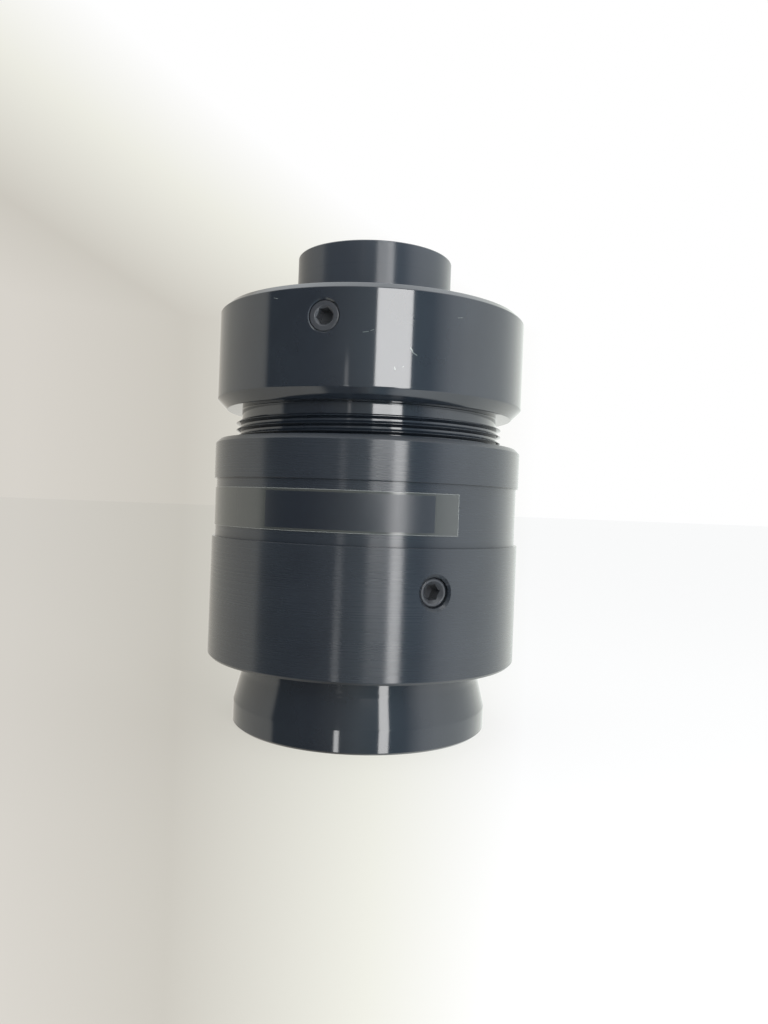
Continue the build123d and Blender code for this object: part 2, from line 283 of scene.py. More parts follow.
def anodisedFinish(name, look):
    material, nodes, links, shader = newMaterial(name)
    place = nodes.new("ShaderNodeTexCoord").outputs["Object"]
    apart = splitNode(nodes, links, place)
    across = mathNode(nodes, links, "MULTIPLY", apart["X"], apart["X"])
    along = mathNode(nodes, links, "MULTIPLY_ADD", apart["Y"], apart["Y"], across)
    turning = nodes.new("ShaderNodeCombineXYZ")
    links.new(mathNode(nodes, links, "SQRT", along), turning.inputs["X"])
    links.new(apart["Z"], turning.inputs["Z"])
    marks = noiseNode(nodes, links, turning.outputs[0], look["markScale"], anodising["markDetail"])
    marks.inputs["Roughness"].default_value = anodising["markGrain"]
    dye = noiseNode(nodes, links, place, anodising["dyeScale"], anodising["dyeDetail"])
    low, high = anodising["spread"]
    shade = colorRamp(nodes, links, dye.outputs["Fac"], ((low, look["dark"]), (high, look["pale"])))
    if "wear" in look:
        worn = wearMask(nodes, links, place, look["wear"])
        shade = mixColor(nodes, links, worn, shade, look["wear"]["color"])
    links.new(shade, shader.inputs["Base Color"])
    gloss = rangeNode(nodes, links, marks.outputs["Fac"], low, high, *look["roughness"])
    links.new(gloss, shader.inputs["Roughness"])
    addRelief(nodes, links, shader, marks.outputs["Fac"], look["markStrength"], look["markDepth"])
    shader.inputs["IOR"].default_value = anodising["ior"]
    shader.inputs["Anisotropic"].default_value = look["stretch"]  # draws a highlight out upwards
    shader.inputs["Anisotropic Rotation"].default_value = anodising["stretchTurn"]
    return material


glossLook = {
    "dark": (0.009, 0.012, 0.017), "pale": (0.012, 0.016, 0.022), "roughness": (0.06, 0.1),
    "markScale": 5000, "markStrength": 0.2, "markDepth": 0.003, "stretch": 0.0,
}
satinLook = {
    "dark": (0.008, 0.011, 0.016), "pale": (0.011, 0.015, 0.021), "roughness": (0.255, 0.305),
    "markScale": 3800, "markStrength": 0.2, "markDepth": 0.004, "stretch": 1.0,
}
noseLook = {
    "dark": (0.016, 0.021, 0.029), "pale": (0.02, 0.026, 0.036), "roughness": (0.26, 0.36),
    "markScale": 5000, "markStrength": 0.8, "markDepth": 0.006, "stretch": 1.0,
}
mattLook = {
    "dark": (0.012, 0.012, 0.013), "pale": (0.018, 0.018, 0.019), "roughness": (0.55, 0.65),
    "markScale": 5000, "markStrength": 0.3, "markDepth": 0.01, "stretch": 0.0,
}
# Wear as the photograph shows it: (angle, height, end angle, end height, half width)
ringWear = {
    "radius": 22.85, "color": (0.3, 0.34, 0.32),
    "marks": (
        (283.6, 52.8, 284.4, 52.2, 0.085), (284.4, 52.2, 285.7, 51.9, 0.06),
        (278.6, 50.2, 278.8, 49.9, 0.11), (268.2, 54.4, 270.0, 54.5, 0.024),
        (270.6, 54.6, 271.7, 54.8, 0.022), (299.8, 57.3, 301.6, 57.45, 0.026),
        (236.7, 59.15, 238.4, 59.0, 0.028), (281.2, 50.3, 281.5, 50.4, 0.05),
    ),
}
barrelWear = {
    "radius": 22.8, "color": (0.55, 0.57, 0.55),
    "marks": (
        (250.9, 28.35, 251.1, 28.4, 0.12), (288.9, 20.6, 289.1, 20.55, 0.16),
        (291.6, 28.7, 292.6, 28.75, 0.06), (293.6, 28.72, 294.2, 28.74, 0.07),
        (276.0, 28.65, 276.5, 28.66, 0.06), (263.0, 16.2, 263.2, 16.1, 0.08),
        (268.0, 28.5, 268.4, 28.52, 0.05), (255.4, 28.75, 255.9, 28.76, 0.05),
    ),
}
glossAnodised = anodisedFinish("gloss_anodised_turned", glossLook)
ringAnodised = anodisedFinish("ring_anodised_turned", {**glossLook, "wear": ringWear})
satinAnodised = anodisedFinish("satin_anodised_turned", {**satinLook, "wear": barrelWear})
noseAnodised = anodisedFinish("nose_anodised_turned", noseLook)
mattBlack = anodisedFinish("matt_black_turned", mattLook)
print("finishes ready")

# Barrel
barrel = {
    "outer": 23.0, "band": 22.88, "recess": 22.55, "foot": 10.0, "recessFoot": 27.5,
    "recessTop": 35.9, "top": 41.7, "socket": 17.95, "webFoot": 27.0, "cellHole": 13.53,
    "chamberFoot": 30.9, "undercut": 20.45, "undercutTop": 33.5, "chamber": 20.05,
    "footChamfer": 0.4, "topChamfer": 0.65, "mouthChamfer": 0.45, "undercutSlope": 0.4,
    "edge": 0.07, "fineEdge": 0.05, "steps": 256,
}
barrelOutline = [
    (barrel["socket"], barrel["foot"] + barrel["footChamfer"], 0),
    (barrel["socket"] + barrel["footChamfer"], barrel["foot"], barrel["fineEdge"]),
    (barrel["outer"] - barrel["footChamfer"], barrel["foot"], barrel["fineEdge"]),
    (barrel["outer"], barrel["foot"] + barrel["footChamfer"], barrel["fineEdge"]),
    (barrel["outer"], barrel["recessFoot"], barrel["edge"]),
    (barrel["recess"], barrel["recessFoot"], 0),
    (barrel["recess"], barrel["recessTop"], 0),
    (barrel["band"], barrel["recessTop"], barrel["edge"]),
    (barrel["band"], barrel["top"] - barrel["topChamfer"], barrel["edge"]),
    (barrel["band"] - barrel["topChamfer"], barrel["top"], barrel["edge"]),
    (barrel["chamber"] + barrel["mouthChamfer"], barrel["top"], barrel["fineEdge"]),
    (barrel["chamber"], barrel["top"] - barrel["mouthChamfer"], 0),
    (barrel["chamber"], barrel["undercutTop"], 0),
    (barrel["undercut"], barrel["undercutTop"] - barrel["undercutSlope"], 0),
    (barrel["undercut"], barrel["chamberFoot"], 0),
    (barrel["cellHole"], barrel["chamberFoot"], 0),
    (barrel["cellHole"], barrel["webFoot"], 0),
    (barrel["socket"], barrel["webFoot"], 0),
]
barrelBody = turnOutline("barrelBody", barrelOutline, barrel["steps"])
print("barrel turned", len(barrelBody.data.polygons))

# Radial screws: where their tips are, how long they are, and the countersunk holes they sit in
noseScrews = {
    "angle": 255.3, "height": 56.5, "tip": 10.63, "length": 12.0, "bevel": 0.12, "mouth": 1.3,
    "surface": 22.85, "sink": 2.25, "holeFoot": 8.9, "body": "focus_group",
}
flangeScrews = {
    "angle": 295.2, "height": 21.8, "tip": 17.38, "length": 5.0, "bevel": 0.28, "mouth": 1.55,
    "surface": 23.0, "sink": 2.45, "holeFoot": 15.4, "body": "barrel",
}
drill = {"radius": 2.03, "over": 0.8, "steps": 72}
screwPitch = 120  # degrees from one screw of a set to the next


# A countersunk hole's shape, to cut from a turned piece
def sinkCutter(screws, angle):
    depth = screws["surface"] - screws["holeFoot"]
    sinkDepth = screws["sink"] - drill["radius"]
    outline = [
        (0, 0, 0), (drill["radius"], 0, 0), (drill["radius"], depth - sinkDepth, 0),
        (screws["sink"] + drill["over"], depth + drill["over"], 0), (0, depth + drill["over"], 0),
    ]
    cutter = turnOutline("cutter", outline, drill["steps"])
    standRadially(cutter, angle, screws["holeFoot"], screws["height"])
    return cutter


def drillSet(obj, screws):
    for number in range(3):
        cutAway(obj, sinkCutter(screws, screws["angle"] + screwPitch * number))


drillSet(barrelBody, flangeScrews)
finishPiece(barrelBody, "main_barrel", "barrel", satinAnodised)
print("barrel drilled", len(barrelBody.data.polygons))

# Dovetail flange, with glare grooves in its bore
flange = {
    "mouth": 15.6, "mouthDepth": 2.0, "bore": 14.2, "rim": 19.0, "rimTop": 3.3, "neck": 17.9,
    "flareTop": 7.5, "spigotTop": 26.95, "grooveDepth": 0.9, "chamfer": 0.3, "edge": 0.05,
    "mouthEdge": 0.04, "rimEdge": 0.12, "flareEdge": 0.3, "steps": 256,
    "glareStart": 3.4, "glarePitch": 1.4, "glareCount": 6, "glareDepth": 0.4,
}
flangeOutline = [
    (flange["mouth"] + flange["chamfer"], 0, flange["mouthEdge"]),
    (flange["rim"] - flange["chamfer"], 0, flange["edge"]),
    (flange["rim"], flange["chamfer"], flange["edge"]),
    (flange["rim"], flange["rimTop"], flange["rimEdge"]),
    (flange["neck"], flange["flareTop"], flange["flareEdge"]),
    (flange["neck"], flangeScrews["height"] - flange["grooveDepth"], 0),
    (flange["neck"] - flange["grooveDepth"], flangeScrews["height"], 0),
    (flange["neck"], flangeScrews["height"] + flange["grooveDepth"], 0),
    (flange["neck"], flange["spigotTop"] - flange["chamfer"], 0),
    (flange["neck"] - flange["chamfer"], flange["spigotTop"], 0),
    (flange["bore"], flange["spigotTop"], 0),
]
for groove in reversed(range(flange["glareCount"])):
    middle = flange["glareStart"] + flange["glarePitch"] * groove
    flangeOutline += [
        (flange["bore"], middle + flange["glareDepth"], 0),
        (flange["bore"] + flange["glareDepth"], middle, 0),
        (flange["bore"], middle - flange["glareDepth"], 0),
    ]
flangeOutline += [
    (flange["bore"], flange["mouthDepth"], flange["mouthEdge"]),
    (flange["mouth"], flange["mouthDepth"], 0),
    (flange["mouth"], flange["chamfer"], flange["mouthEdge"]),
]
flangeBody = turnOutline("flangeBody", flangeOutline, flange["steps"])
finishPiece(flangeBody, "dovetail_flange", "camera_flange", glossAnodised)
print("flange turned", len(flangeBody.data.polygons))

# Focus ring: the grip and its relief are turned, and the threaded skirt below is wound as a helix.
# The relief reaches a little way down into the skirt.
ring = {
    "outer": 22.85, "foot": 46.15, "top": 60.85, "relief": 19.2, "threadTop": 44.6,
    "skirtFoot": 35.6, "skirtBore": 16.0, "noseBore": 11.625, "shankBore": 11.025,
    "noseSeat": 60.7, "socketFoot": 48.5, "lightBore": 9.2, "webFoot": 46.4,
    "topChamfer": 0.75, "footChamfer": 1.45, "overlap": 0.2, "boreStep": 0.05,
    "edge": 0.09, "reliefEdge": 0.12, "noseEdge": 0.04, "steps": 256,
}
ringOutline = [
    (ring["skirtBore"] + ring["boreStep"], ring["threadTop"] - ring["overlap"], 0),
    (ring["relief"], ring["threadTop"] - ring["overlap"], 0),
    (ring["relief"], ring["foot"], ring["reliefEdge"]),
    (ring["outer"] - ring["footChamfer"], ring["foot"], ring["edge"]),
    (ring["outer"], ring["foot"] + ring["footChamfer"], ring["edge"]),
    (ring["outer"], ring["top"] - ring["topChamfer"], ring["edge"]),
    (ring["outer"] - ring["topChamfer"], ring["top"], ring["edge"]),
    (ring["noseBore"], ring["top"], ring["noseEdge"]),
    (ring["noseBore"], ring["noseSeat"], 0),
    (ring["shankBore"], ring["noseSeat"], 0),
    (ring["shankBore"], ring["socketFoot"], 0),
    (ring["lightBore"], ring["socketFoot"], 0),
    (ring["lightBore"], ring["webFoot"], 0),
    (ring["skirtBore"], ring["webFoot"], 0),
]
ringBody = turnOutline("ringBody", ringOutline, ring["steps"])
drillSet(ringBody, noseScrews)
print("focus ring turned", len(ringBody.data.polygons))

# Thread of 1 mm pitch. Its foot is chamfered by a cone, so that it starts cleanly.
thread = {
    "crest": 20.0, "depth": 0.613, "pitch": 1.0, "crestFlat": 0.05, "rootHalf": 0.125,
    "easeDepth": 0.06, "easeShare": 0.92, "startBelow": 1.5, "turns": 12, "steps": 160,
    "leadRadius": 19.5, "leadSlope": 1.33,
}


# Selects the edges of which both ends pass a test
def pickEdges(obj, test):
    bpy.ops.object.mode_set(mode="EDIT")
    bpy.ops.mesh.select_mode(type="EDGE")
    bpy.ops.mesh.select_all(action="DESELECT")
    bpy.ops.object.mode_set(mode="OBJECT")
    points = [vertex.co for vertex in obj.data.vertices]
    for edge in obj.data.edges:
        edge.select = all(test(points[end]) for end in edge.vertices)
    bpy.ops.object.mode_set(mode="EDIT")


def scaleRadius(vertex, share):
    vertex.co.x, vertex.co.y = vertex.co.x * share, vertex.co.y * share


# One turn's outline, from root to root
def toothOutline():
    root = thread["crest"] - thread["depth"]
    foot, top = thread["rootHalf"], thread["pitch"] - thread["rootHalf"]
    flat = thread["crestFlat"]
    flank = (thread["pitch"] - 2 * thread["rootHalf"] - 2 * flat) / 2
    ease = flank * thread["easeShare"]
    return [
        (root, 0), (root, foot), (thread["crest"] - thread["easeDepth"], foot + ease),
        (thread["crest"], foot + flank + flat * 0.5), (thread["crest"], foot + flank + flat * 1.5),
        (thread["crest"] - thread["easeDepth"], top - ease), (root, top), (root, thread["pitch"]),
    ]


# The tooth is wound upwards by the Screw modifier, cut flat at both ends and closed by a bore. It
# starts half a step off the cut, so that no corner lies in a cutting plane.
def threadedSkirt():
    halfStep = thread["pitch"] / thread["steps"] / 2
    obj = drawOutline(toothOutline(), ring["skirtFoot"] - thread["startBelow"] - halfStep)
    bpy.ops.object.mode_set(mode="OBJECT")
    bpy.ops.object.transform_apply(location=True, rotation=True, scale=True)
    wind = obj.modifiers.new("wind", "SCREW")
    wind.screw_offset = thread["pitch"] * mm
    wind.iterations = thread["turns"]
    wind.steps = wind.render_steps = thread["steps"]
    wind.use_merge_vertices = True
    wind.merge_threshold = near["merge"] * mm
    bpy.ops.object.modifier_apply(modifier="wind")
    bpy.ops.object.mode_set(mode="EDIT")
    bpy.ops.mesh.select_all(action="SELECT")
    bpy.ops.mesh.remove_doubles(threshold=near["pick"] * mm)
    for height, keepAbove in ((ring["skirtFoot"], True), (ring["threadTop"], False)):
        bpy.ops.mesh.select_all(action="SELECT")
        bpy.ops.mesh.bisect(
            plane_co=(0, 0, height * mm), plane_no=(0, 0, 1), clear_inner=keepAbove,
            clear_outer=not keepAbove, threshold=near["cut"] * mm,
        )
    bpy.ops.object.mode_set(mode="OBJECT")
    for vertex in obj.data.vertices:
        rise = vertex.co.z / mm - ring["skirtFoot"]
        limit = (thread["leadRadius"] + rise * thread["leadSlope"]) * mm
        scaleRadius(vertex, min(1, limit / math.hypot(vertex.co.x, vertex.co.y)))
    level, bore = near["level"] * mm, ring["skirtBore"] * mm
    for height in (ring["skirtFoot"], ring["threadTop"]):  # each end is drawn in to the bore
        pickEdges(obj, lambda point: abs(point.z - height * mm) < level)
        bpy.ops.mesh.extrude_region_move()
        bpy.ops.object.mode_set(mode="OBJECT")
        for vertex in obj.data.vertices:
            if vertex.select:
                scaleRadius(vertex, bore / math.hypot(vertex.co.x, vertex.co.y))
    pickEdges(obj, lambda point: abs(math.hypot(point.x, point.y) - bore) < level)
    bpy.ops.mesh.bridge_edge_loops()
    closeMesh()
    return obj


skirt = threadedSkirt()
pick(ringBody)
skirt.select_set(True)
bpy.ops.object.join()
finishPiece(ringBody, "focus_ring", "focus_group", ringAnodised)
print("thread wound", len(ringBody.data.polygons))

# Nose tube
nose = {
    "outer": 11.6, "shank": 11.0, "foot": 48.85, "seat": 60.7, "top": 69.65, "pocket": 9.53,
    "lensSeat": 63.2, "bore": 8.6, "grooveDepth": 0.75, "footChamfer": 0.3, "topChamfer": 0.15,
    "edge": 0.03, "seatEdge": 0.04, "steps": 224,
}
noseOutline = [
    (nose["bore"], nose["foot"], 0),
    (nose["shank"] - nose["footChamfer"], nose["foot"], 0),
    (nose["shank"], nose["foot"] + nose["footChamfer"], 0),
    (nose["shank"], noseScrews["height"] - nose["grooveDepth"], 0),
    (nose["shank"] - nose["grooveDepth"], noseScrews["height"], 0),
    (nose["shank"], noseScrews["height"] + nose["grooveDepth"], 0),
    (nose["shank"], nose["seat"], 0),
    (nose["outer"], nose["seat"], 0),
    (nose["outer"], nose["top"] - nose["topChamfer"], nose["edge"]),
    (nose["outer"] - nose["topChamfer"], nose["top"], nose["edge"]),
    (nose["pocket"] + nose["topChamfer"], nose["top"], nose["edge"]),
    (nose["pocket"], nose["top"] - nose["topChamfer"], nose["edge"]),
    (nose["pocket"], nose["lensSeat"], 0),
    (nose["bore"], nose["lensSeat"], nose["seatEdge"]),
]
noseBody = turnOutline("noseBody", noseOutline, nose["steps"])
finishPiece(noseBody, "nose_tube", "focus_group", noseAnodised)
print("nose tube turned", len(noseBody.data.polygons))

# Set screws, M4 with a hexagon socket of 2 mm across the flats
screwLook = {
    "dark": (0.028, 0.03, 0.035), "pale": (0.042, 0.045, 0.05), "roughness": (0.24, 0.36),
    "markScale": 3000, "markStrength": 0.25, "markDepth": 0.01, "stretch": 0.0,
}
blackSteel = anodisedFinish("black_oxide_steel", screwLook)
setScrew = {
    "radius": 2.0, "tipFlat": 0.3, "cone": 1.7, "socket": 1.0, "socketDepth": 2.0, "turn": 8.0,
    "over": 0.5, "tipEdge": 0.04, "coneEdge": 0.05, "edge": 0.03, "faceEdge": 0.04,
    "mouthEdge": 0.05, "steps": 64, "smoothUpTo": 25,
}


def makeSetScrew(name, screws):
    length, mouth, bevel = screws["length"], screws["mouth"], screws["bevel"]
    outline = [
        (0, 0, 0), (setScrew["tipFlat"], 0, setScrew["tipEdge"]),
        (setScrew["radius"], setScrew["cone"], setScrew["coneEdge"]),
        (setScrew["radius"], length - bevel, setScrew["edge"]),
        (setScrew["radius"] - bevel, length, setScrew["faceEdge"]),
        (mouth, length, setScrew["mouthEdge"]), (0, length - mouth, 0),
    ]
    screw = turnOutline(name, outline, setScrew["steps"])
    clearSelection()
    top = length + setScrew["over"]
    foot = length - (mouth - setScrew["socket"]) - setScrew["socketDepth"]
    bpy.ops.mesh.primitive_cylinder_add(
        vertices=6, radius=setScrew["socket"] / math.cos(math.radians(30)) * mm,
        depth=(top - foot) * mm, location=(0, 0, (top + foot) / 2 * mm),
        rotation=(0, 0, math.radians(setScrew["turn"])),
    )
    cutAway(screw, bpy.context.object)
    return screw


for family, screws in (("nose", noseScrews), ("flange", flangeScrews)):
    first = makeSetScrew(f"{family}Screw1", screws)
    screwSet = [first, copyOf(first, f"{family}Screw2"), copyOf(first, f"{family}Screw3")]
    for number, screw in enumerate(screwSet):
        angle = screws["angle"] + screwPitch * number
        standRadially(screw, angle, screws["tip"], screws["height"])
        node = f"{family}_set_screw_{number + 1}"
        finishPiece(screw, node, screws["body"], blackSteel, setScrew["smoothUpTo"])
print("set screws made")

# Inner turned rings. Their heights are those of their nodes.
innerRings = {
    "front_retaining_ring": {"outer": 9.5, "inner": 8.5, "slotted": True, "body": "focus_group"},
    "lens_spacer": {"outer": 12.0, "inner": 11.0, "slotted": False, "body": "barrel"},
    "aperture_stop": {"outer": 12.0, "inner": 7.0, "slotted": False, "body": "barrel"},
    "rear_retaining_ring": {"outer": 12.0, "inner": 10.9, "slotted": True, "body": "barrel"},
}
innerFinish = {"edge": 0.08, "edgesInHeight": 5, "steps": 160}
spannerSlot = {"width": 1.2, "depth": 0.6, "over": 1}


def slotCutter(reach, top):
    clearSelection()
    bpy.ops.mesh.primitive_cube_add(size=mm, location=(0, 0, top * mm))
    slot = bpy.context.object
    slot.scale = (2 * reach + spannerSlot["over"], spannerSlot["width"], 2 * spannerSlot["depth"])
    bpy.ops.object.transform_apply(location=True, rotation=True, scale=True)
    return slot


for node, part in innerRings.items():
    foot, top = heightsOf(node)
    edge = min(innerFinish["edge"], (top - foot) / innerFinish["edgesInHeight"])
    outline = [
        (part["inner"], foot, edge), (part["outer"], foot, edge),
        (part["outer"], top, edge), (part["inner"], top, edge),
    ]
    piece = turnOutline(node.replace("_", "-") + "-turned", outline, innerFinish["steps"])
    if part["slotted"]:
        cutAway(piece, slotCutter(part["outer"], top))
    finishPiece(piece, node, part["body"], mattBlack)

# Rear lens cell, which hangs by its head in the barrel's web
cell = {
    "outer": 13.5, "head": 15.4, "bore": 12.03, "lip": 11.0, "lipHeight": 1.2, "chamfer": 0.3,
    "edge": 0.05, "headEdge": 0.04, "steps": 192,
}
cellFoot, cellTop = heightsOf("rear_lens_cell")
cellOutline = [
    (cell["lip"], cellFoot, cell["edge"]),
    (cell["outer"] - cell["chamfer"], cellFoot, 0),
    (cell["outer"], cellFoot + cell["chamfer"], 0),
    (cell["outer"], barrel["chamberFoot"], 0),
    (cell["head"], barrel["chamberFoot"], cell["headEdge"]),
    (cell["head"], cellTop - cell["chamfer"], cell["headEdge"]),
    (cell["head"] - cell["chamfer"], cellTop, cell["headEdge"]),
    (cell["bore"], cellTop, cell["edge"]),
    (cell["bore"], cellFoot + cell["lipHeight"], 0),
    (cell["lip"], cellFoot + cell["lipHeight"], cell["edge"]),
]
cellBody = turnOutline("cellBody", cellOutline, cell["steps"])
cutAway(cellBody, slotCutter(cell["head"], cellTop))
finishPiece(cellBody, "rear_lens_cell", "barrel", mattBlack)
print("inner rings and cell turned")

# Lenses: two spherical surfaces with ground edges. A curve is a radius, and 0 is flat.
lenses = {
    "front_flint_lens": {"radius": 9.5, "curves": (60.0, 24.0), "glass": "flint"},
    "front_crown_lens": {"radius": 9.5, "curves": (24.0, -38.0), "glass": "crown"},
    "field_lens": {"radius": 12.0, "curves": (0, -50.0), "glass": "crown"},
    "rear_flint_lens": {"radius": 12.0, "curves": (0, 32.0), "glass": "flint"},
    "rear_crown_lens": {"radius": 12.0, "curves": (32.0, -44.0), "glass": "crown"},
}
lensMesh = {"rings": 14, "steps": 128, "smoothUpTo": 40}
glasses = {
    "crown": {"tint": (0.86, 0.92, 0.97, 1), "ior": 1.52, "coating": 310},
    "flint": {"tint": (0.88, 0.9, 0.95, 1), "ior": 1.62, "coating": 260},
}
polish = {"scale": 220, "detail": 3, "spread": (0.45, 0.8), "most": 0.05, "coatingIor": 1.38}


# Polished glass with a thin coating, whose tint the coating's thickness gives
def glassFinish(name, glass):
    material, nodes, links, shader = newMaterial(name)
    place = nodes.new("ShaderNodeTexCoord").outputs["Object"]
    smear = noiseNode(nodes, links, place, polish["scale"], polish["detail"])
    low, high = polish["spread"]
    smeared = rangeNode(nodes, links, smear.outputs["Fac"], low, high, 0.0, polish["most"])
    links.new(smeared, shader.inputs["Roughness"])
    shader.inputs["Base Color"].default_value = glass["tint"]
    shader.inputs["IOR"].default_value = glass["ior"]
    shader.inputs["Transmission Weight"].default_value = 1.0
    shader.inputs["Thin Film Thickness"].default_value = glass["coating"]
    shader.inputs["Thin Film IOR"].default_value = polish["coatingIor"]
    return material


def sagitta(curve, radius):
    return 0 if curve == 0 else math.copysign(abs(curve) - math.sqrt(curve**2 - radius**2), curve)


def makeLens(node, lens, body, material):
    foot, top = heightsOf(node)
    radius, (footCurve, topCurve) = lens["radius"], lens["curves"]
    footApex = foot - min(0, sagitta(footCurve, radius))
    topApex = top - max(0, sagitta(topCurve, radius))
    reaches = [radius * step / lensMesh["rings"] for step in range(lensMesh["rings"] + 1)]
    outline = [(reach, footApex + sagitta(footCurve, reach), 0) for reach in reaches]
    outline += [(reach, topApex + sagitta(topCurve, reach), 0) for reach in reversed(reaches)]
    lensBody = turnOutline(node.replace("_", "-") + "-polished", outline, lensMesh["steps"])
    finishPiece(lensBody, node, body, material, lensMesh["smoothUpTo"])


glassOf = {name: glassFinish(f"coated_{name}_glass", glass) for name, glass in glasses.items()}
for node, lens in lenses.items():
    body = "front_doublet" if node.startswith("front") else "barrel"
    makeLens(node, lens, body, glassOf[lens["glass"]])
print("lenses polished")

# Label: a film bent round the recess, with a dark bare print area inside its clear border
label = {
    "inner": 22.56, "film": 0.1, "foot": 29.1, "top": 34.6, "start": 186.0, "sweep": 117.6,
    "printStart": 235.8, "printEnd": 294.4, "border": 0.36, "rim": 0.08,
    "edge": 0.045, "steps": 96, "smoothUpTo": 45,
}
labelLook = {
    "inkScale": 900, "inkDetail": 3, "inkDark": (0.003, 0.005, 0.009),
    "inkPale": (0.005, 0.008, 0.013), "paintedEdgeHighlight": (0.17, 0.18, 0.175),
    "clearBorder": (0.034, 0.037, 0.034), "filmRoughness": 0.18, "inkRoughness": 0.1,
    "waveScale": 260, "waveDetail": 2, "waveStrength": 0.3, "waveDepth": 0.02, "ior": 1.55,
}


# 1 on one side of a vertical plane through the axis at an angle, 0 on the other
def sideOf(nodes, links, place, angle, operation):
    turned = nodes.new("ShaderNodeVectorRotate")  # turned so that the plane lies on the X axis
    turned.rotation_type = "Z_AXIS"
    turned.inputs["Angle"].default_value = -math.radians(angle)
    links.new(place, turned.inputs["Vector"])
    return mathNode(nodes, links, operation, splitNode(nodes, links, turned.outputs[0])["Y"], 0.0)


# 1 where a height lies between two heights, 0 elsewhere
def between(nodes, links, height, foot, top):
    above = mathNode(nodes, links, "GREATER_THAN", height, foot * mm)
    below = mathNode(nodes, links, "LESS_THAN", height, top * mm)
    return mathNode(nodes, links, "MULTIPLY", above, below)


# The film's cut edge has a painted highlight where it catches the light, the metal shows through
# its clear border, and it doesn't lie quite flat
def labelFinish():
    material, nodes, links, shader = newMaterial("label_film_bare")
    place = nodes.new("ShaderNodeTexCoord").outputs["Object"]
    height = splitNode(nodes, links, place)["Z"]
    foot, top, border, rim = label["foot"], label["top"], label["border"], label["rim"]
    rows = between(nodes, links, height, foot + border, top - border)
    beforeEnd = sideOf(nodes, links, place, label["printEnd"], "LESS_THAN")
    afterStart = sideOf(nodes, links, place, label["printStart"], "GREATER_THAN")
    columns = mathNode(nodes, links, "MULTIPLY", beforeEnd, afterStart)
    printed = mathNode(nodes, links, "MULTIPLY", rows, columns)
    withinRows = between(nodes, links, height, foot + rim, top - rim)
    endAngle = label["start"] + label["sweep"] - math.degrees(rim / label["inner"])
    withinEnd = sideOf(nodes, links, place, endAngle, "LESS_THAN")
    inside = mathNode(nodes, links, "MULTIPLY", withinRows, withinEnd)
    ink = noiseNode(nodes, links, place, labelLook["inkScale"], labelLook["inkDetail"])
    inkStops = ((0, labelLook["inkDark"]), (1, labelLook["inkPale"]))
    inkShade = colorRamp(nodes, links, ink.outputs["Fac"], inkStops)
    # The pale band along the film's cut edge is a painted highlight
    film = mixColor(nodes, links, inside, labelLook["paintedEdgeHighlight"], labelLook["clearBorder"])
    paint = mixColor(nodes, links, printed, film, inkShade)
    links.new(paint, shader.inputs["Base Color"])
    roughness = mathNode(
        nodes, links, "MULTIPLY_ADD", printed, labelLook["inkRoughness"], labelLook["filmRoughness"]
    )
    links.new(roughness, shader.inputs["Roughness"])
    waves = noiseNode(nodes, links, place, labelLook["waveScale"], labelLook["waveDetail"])
    strength, depth = labelLook["waveStrength"], labelLook["waveDepth"]
    addRelief(nodes, links, shader, waves.outputs["Fac"], strength, depth)
    shader.inputs["IOR"].default_value = labelLook["ior"]
    return material


filmFace = label["inner"] + label["film"]
filmOutline = [
    (label["inner"], label["foot"], 0), (filmFace, label["foot"], label["edge"]),
    (filmFace, label["top"], label["edge"]), (label["inner"], label["top"], 0),
]
labelFilm = turnOutline("labelFilm", filmOutline, label["steps"], label["start"], label["sweep"])
pick(labelFilm)
bpy.ops.object.mode_set(mode="EDIT")
bpy.ops.mesh.select_mode(type="EDGE")
bpy.ops.mesh.select_all(action="DESELECT")
bpy.ops.mesh.select_non_manifold()
bpy.ops.mesh.fill()
closeMesh()
finishPiece(labelFilm, "info_label", "barrel", labelFinish(), label["smoothUpTo"])
print("label laid on")

# Table. Table and backdrop are painted with light and shade by the direction from one point: warm
# grey at the left, a painted shadow a little darker left of the adapter, and painted sunlight to
# white at the right. Both show most of that colour of their own to the camera.
# Painted light and shade: warm grey at the far left, a painted shadow at 0.26 beside the adapter,
# painted sunlight to white at the right
paintedSunAndShadowStops = (
    (0.09, (0.68, 0.65, 0.6)), (0.26, (0.6, 0.575, 0.52)), (0.5, (0.845, 0.84, 0.77)),
    (0.68, (1, 1, 1)),
)
table = {
    "size": 8.0, "cuts": 8, "fanFrom": (2.8, -125.3), "fanMiddle": 0.5, "glow": 0.8,
    "grainScale": 900, "grainDetail": 5, "grainStrength": 0.2, "grainDepth": 0.1,
    "roughness": 0.9,
}
clearSelection()
bpy.ops.mesh.primitive_plane_add(size=table["size"], location=(0, 0, 0))
tableTop = bpy.context.object
tableTop.name = "tableTop"
bpy.ops.object.mode_set(mode="EDIT")
bpy.ops.mesh.subdivide(number_cuts=table["cuts"])
bpy.ops.object.mode_set(mode="OBJECT")
tablePaint, nodes, links, shader = newMaterial("table_painted_sun_and_shadow")
place = nodes.new("ShaderNodeTexCoord").outputs["Object"]
fromPoint = nodes.new("ShaderNodeMapping")
fromPoint.inputs["Location"].default_value = (*(-c * mm for c in table["fanFrom"]), 0)
links.new(place, fromPoint.inputs["Vector"])
towards = vectorNode(nodes, links, "NORMALIZE", fromPoint.outputs[0]).outputs[0]
sideways = splitNode(nodes, links, towards)["X"]
share = mathNode(nodes, links, "ADD", sideways, table["fanMiddle"])
